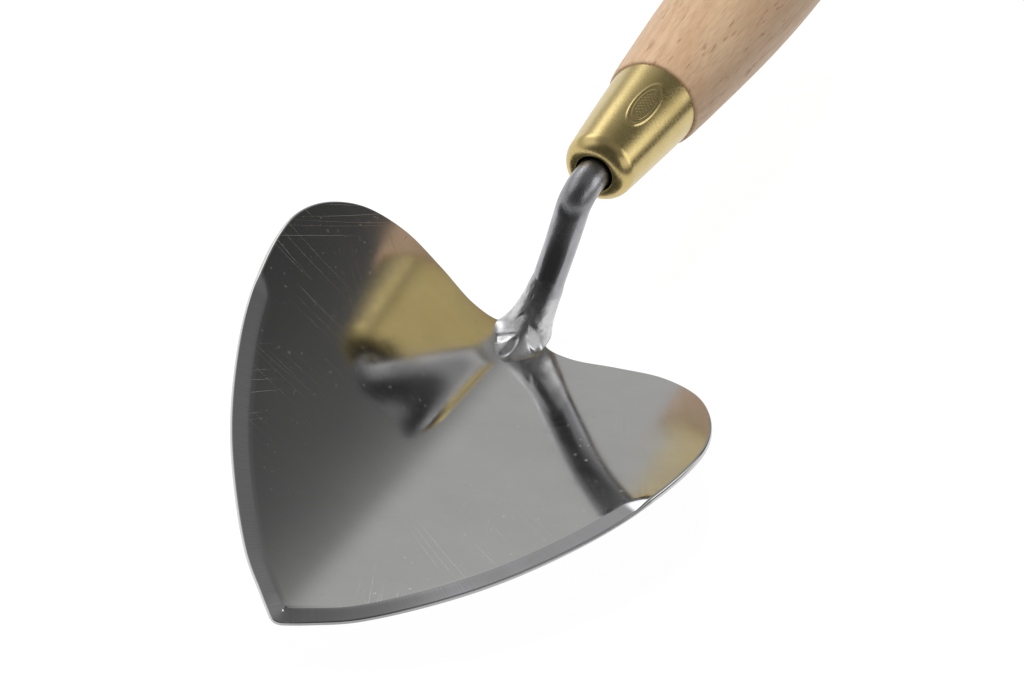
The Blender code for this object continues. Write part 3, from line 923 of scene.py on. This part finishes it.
class Sky:
    """The light all round, built up from soft-edged panels of turn and rise."""

    def __init__(self):
        world = bpy.data.worlds.new("studio")
        bpy.context.scene.world = world
        world.use_nodes = True
        self.tree = world.node_tree
        self.background = self.tree.nodes["Background"]
        self.background.inputs["Color"].default_value = (1.0, 1.0, 1.0, 1.0)
        direction = self.tree.nodes.new("ShaderNodeTexCoord").outputs["Generated"]
        parts = self.tree.nodes.new("ShaderNodeSeparateXYZ")
        self.tree.links.new(direction, parts.inputs[0])
        behind = self.sum("MULTIPLY", parts.outputs["X"], -1.0)
        self.turn = self.sum("ARCTAN2", parts.outputs["Y"], behind)
        self.rise = self.sum("ARCSINE", parts.outputs["Z"])

    def feed(self, socket, value):
        if isinstance(value, bpy.types.NodeSocket):
            self.tree.links.new(value, socket)
        else:
            socket.default_value = value

    def sum(self, operation, first, second=0.0):
        made = self.tree.nodes.new("ShaderNodeMath")
        made.operation = operation
        self.feed(made.inputs[0], first)
        self.feed(made.inputs[1], second)
        return made.outputs[0]

    def span(self, value, low, high, start=0.0, end=1.0):
        """Value in degrees from low to high, read as start to end."""
        made = self.tree.nodes.new("ShaderNodeMapRange")
        made.interpolation_type = "SMOOTHSTEP"
        degrees = (math.radians(low), math.radians(high), start, end)
        for socket, number in zip(made.inputs, (value, *degrees)):
            self.feed(socket, number)
        return made.outputs[0]

    def blend(self, share, first, second):
        made = self.tree.nodes.new("ShaderNodeMix")
        made.data_type = "FLOAT"
        for index, value in enumerate((share, None, first, second)):
            if value is not None:
                self.feed(made.inputs[index], value)
        return made.outputs[0]

    def panel(self, level, turns, rises, soft, brightness):
        """Sets a soft-edged rectangle of the sky to one brightness."""
        share = None
        for value, (low, high), edge in zip((self.turn, self.rise), (turns, rises), soft):
            for part in (self.span(value, low - edge, low + edge),
                         self.span(value, high - edge, high + edge, 1.0, 0.0)):
                share = part if share is None else self.sum("MULTIPLY", share, part)
        return self.blend(share, level, brightness)


def build_world():
    """Dark wall behind towards +Y, grey towards -Y, softboxes both sides, dark in front."""
    sky = Sky()
    level = sky.blend(sky.span(sky.rise, *WALL_TOP), sky.span(sky.turn, *WALL),
                      sky.span(sky.turn, *ABOVE_WALL))
    level = sky.blend(sky.span(sky.rise, *CEILING_EDGE), level, CEILING)
    for panel in PANELS:
        level = sky.panel(level, *panel)
    sky.feed(sky.background.inputs["Strength"], level)


def build_floor():
    row = FLOOR_STEPS + 1
    places = [FLOOR_HALF * (2 * step / FLOOR_STEPS - 1) for step in range(row)]
    vertices = [(x, y, FLOOR_LEVEL) for y in places for x in places]
    faces = [(j * row + i, j * row + i + 1, (j + 1) * row + i + 1, (j + 1) * row + i)
             for j in range(FLOOR_STEPS) for i in range(FLOOR_STEPS)]
    mesh = bpy.data.meshes.new("floor")
    mesh.from_pydata(vertices, [], faces)
    look = Look("pale_floor", grey(0.12, 0.0), 0.0, 0.9)
    look.shader.inputs["Emission Color"].default_value = grey(1.0, 0.0)
    look.shader.inputs["Emission Strength"].default_value = FLOOR_GLOW
    look.shader.inputs["Specular IOR Level"].default_value = 0.0
    mesh.materials.append(look.material)
    floor = bpy.data.objects.new("floor", mesh)
    bpy.context.scene.collection.objects.link(floor)


def build_light():
    """A large soft light above; it lights the wood, and the metals do not mirror it."""
    data = bpy.data.lights.new("softbox", "AREA")
    data.shape = "DISK"
    data.size = LAMP_SIZE
    data.energy = LAMP_POWER
    light = bpy.data.objects.new("softbox", data)
    facing = (LAMP_PLACE - MOUTH).to_track_quat("Z", "Y").to_matrix().to_4x4()
    light.matrix_world = Matrix.Translation(LAMP_PLACE) @ facing
    light.visible_glossy = False
    bpy.context.scene.collection.objects.link(light)


def build_camera():
    data = bpy.data.cameras.new("camera")
    data.lens = CAMERA_LENS
    data.sensor_width = CAMERA_SENSOR
    data.clip_start, data.clip_end = CAMERA_CLIP
    camera = bpy.data.objects.new("camera", data)
    bpy.context.scene.collection.objects.link(camera)
    turn = Matrix(CAMERA_AXES).transposed().to_4x4()
    camera.matrix_world = Matrix.Translation(MOUTH + SCALE * CAMERA_PLACE) @ turn
    bpy.context.scene.camera = camera


def main():
    pieces = (build_blade(polished_steel(), ground_steel()), build_neck(bar_steel()),
              build_weld(ground_weld()), build_ferrule(satin_brass()),
              build_handle(oiled_beech()))
    for piece in pieces:
        settle(piece.data)
    build_world()
    build_floor()
    build_light()
    build_camera()
    bpy.context.scene.view_settings.view_transform = "Standard"


main()
